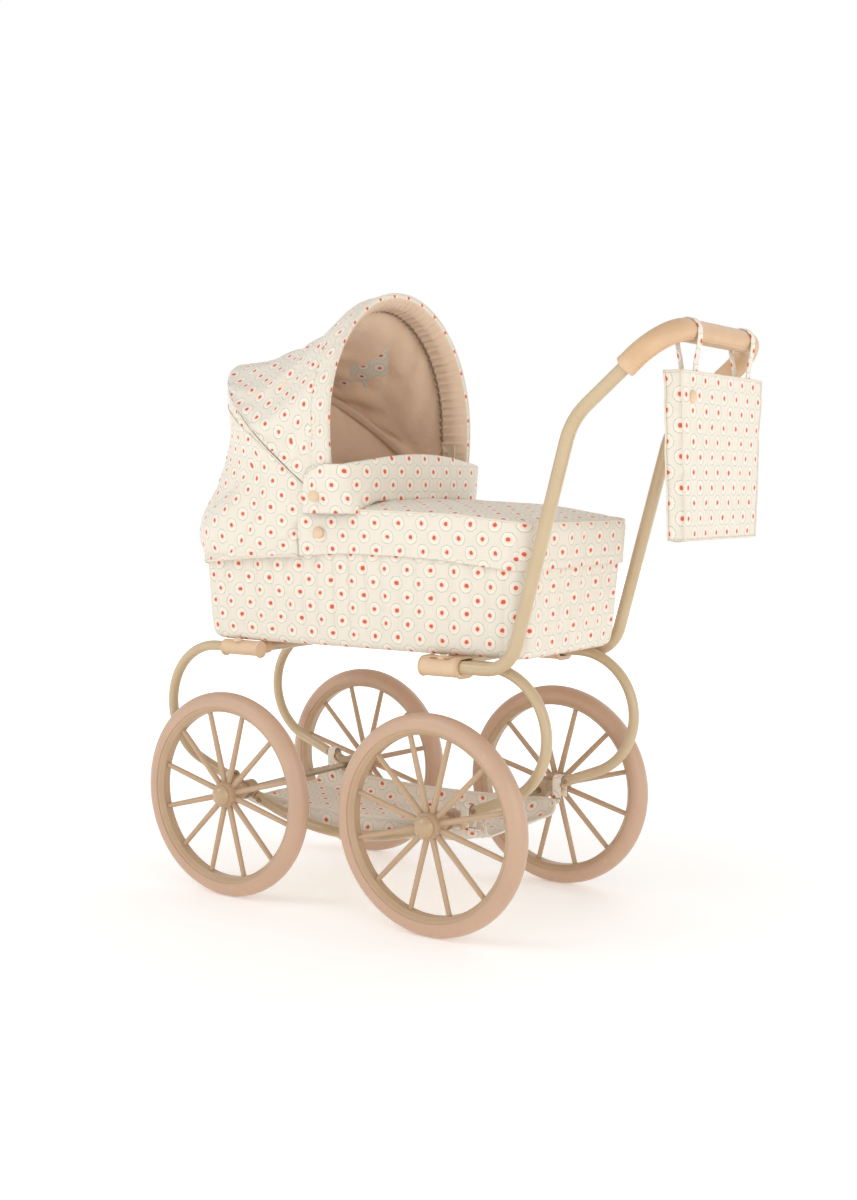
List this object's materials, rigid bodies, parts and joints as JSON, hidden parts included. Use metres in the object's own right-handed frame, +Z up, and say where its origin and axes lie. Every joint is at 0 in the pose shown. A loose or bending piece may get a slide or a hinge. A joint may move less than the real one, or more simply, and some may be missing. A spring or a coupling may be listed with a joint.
{
  "type": "doll pram",
  "caption": "Doll pram with spoked wheels on C-tube springs, lift-off quilted bassinet, folding hood, apron, wind flap, basket and a bag on the push handle.",
  "frame": {"origin": "on the floor under the middle of the whole object's box", "axes": "+X towards the handle, +Y to the pram's right side, +Z up"},
  "size_m": [0.5718, 0.2572, 0.583],
  "materials": {
    "tyre": "matte pinkish beige",
    "wheel": "satin beige",
    "hub_cap": "satin khaki",
    "steel": "plain",
    "bracket": "satin",
    "tube": "satin khaki paint",
    "leather": "smooth, soft sheen",
    "grip": "smooth, soft sheen",
    "snap": "satin",
    "board": "plain",
    "lining": "plain weave",
    "mattress": "plain weave",
    "bow": "plain",
    "cloth": "printed quilted cotton"
  },
  "bodies": {
    "frame": {"axle_front": "steel", "axle_rear": "steel", "axle_spacers": "wheel", "bracket_front_left": "bracket", "bracket_front_right": "bracket", "bracket_rear_left": "bracket", "bracket_rear_right": "bracket", "c_tube_front_left": "tube", "c_tube_front_right": "tube", "c_tube_rear_left": "tube", "c_tube_rear_right": "tube", "rail_left": "tube", "rail_right": "tube", "frame_rivets": "steel", "sleeve_front_left": "leather", "sleeve_front_right": "leather", "sleeve_rear_left": "leather", "sleeve_rear_right": "leather", "cross_bar_front": "tube", "cross_bar_rear": "tube", "sleeve_snaps": "snap", "handle_tube": "tube", "handle_grip": "grip", "basket": "cloth", "basket_tabs": "cloth", "basket_snaps": "snap"},
    "wheel_front_left": {"tyre_front_left": "tyre", "wheel_front_left": "wheel", "hub_cap_front_left": "hub_cap"},
    "wheel_front_right": {"tyre_front_right": "tyre", "wheel_front_right": "wheel", "hub_cap_front_right": "hub_cap"},
    "wheel_rear_left": {"tyre_rear_left": "tyre", "wheel_rear_left": "wheel", "hub_cap_rear_left": "hub_cap"},
    "wheel_rear_right": {"tyre_rear_right": "tyre", "wheel_rear_right": "wheel", "hub_cap_rear_right": "hub_cap"},
    "bassinet": {"base_board": "board", "wall_board": "board", "quilted_cover": "cloth", "lining": "lining", "mattress": "mattress", "apron": "cloth", "wind_flap": "cloth", "flap_snaps": "snap", "hood_plate_left": "wheel", "hood_plate_right": "wheel", "hood_pivots": "steel", "rear_bow": "bow", "rear_skirt": "cloth", "canopy": "cloth"},
    "hood": {"front_bow": "bow", "front_band": "cloth"},
    "bag": {"bag_pouch": "cloth", "bag_straps": "cloth", "bag_snap": "snap"}
  },
  "joints": [
    {"name": "spin_front_left", "type": "hinge", "parent": "frame", "child": "wheel_front_left", "pos_m": [-0.1804, -0.113, 0.1], "axis": [0, 1, 0], "continuous": true},
    {"name": "spin_front_right", "type": "hinge", "parent": "frame", "child": "wheel_front_right", "pos_m": [-0.1804, 0.113, 0.1], "axis": [0, 1, 0], "continuous": true},
    {"name": "spin_rear_left", "type": "hinge", "parent": "frame", "child": "wheel_rear_left", "pos_m": [0.0596, -0.113, 0.1], "axis": [0, 1, 0], "continuous": true},
    {"name": "spin_rear_right", "type": "hinge", "parent": "frame", "child": "wheel_rear_right", "pos_m": [0.0596, 0.113, 0.1], "axis": [0, 1, 0], "continuous": true},
    {"name": "bassinet_lift", "type": "slide", "parent": "frame", "child": "bassinet", "axis": [0, 0, 1], "range_m": [0, 0.12]},
    {"name": "hood_fold", "type": "hinge", "parent": "bassinet", "child": "hood", "pos_m": [-0.0724, 0, 0.39], "axis": [0, -1, 0], "range_deg": [0, 40], "deforming": ["canopy"]},
    {"name": "bag_swing", "type": "hinge", "parent": "frame", "child": "bag", "pos_m": [0.2746, 0, 0.525], "axis": [0, 1, 0], "range_deg": [-20, 20]}
  ]
}
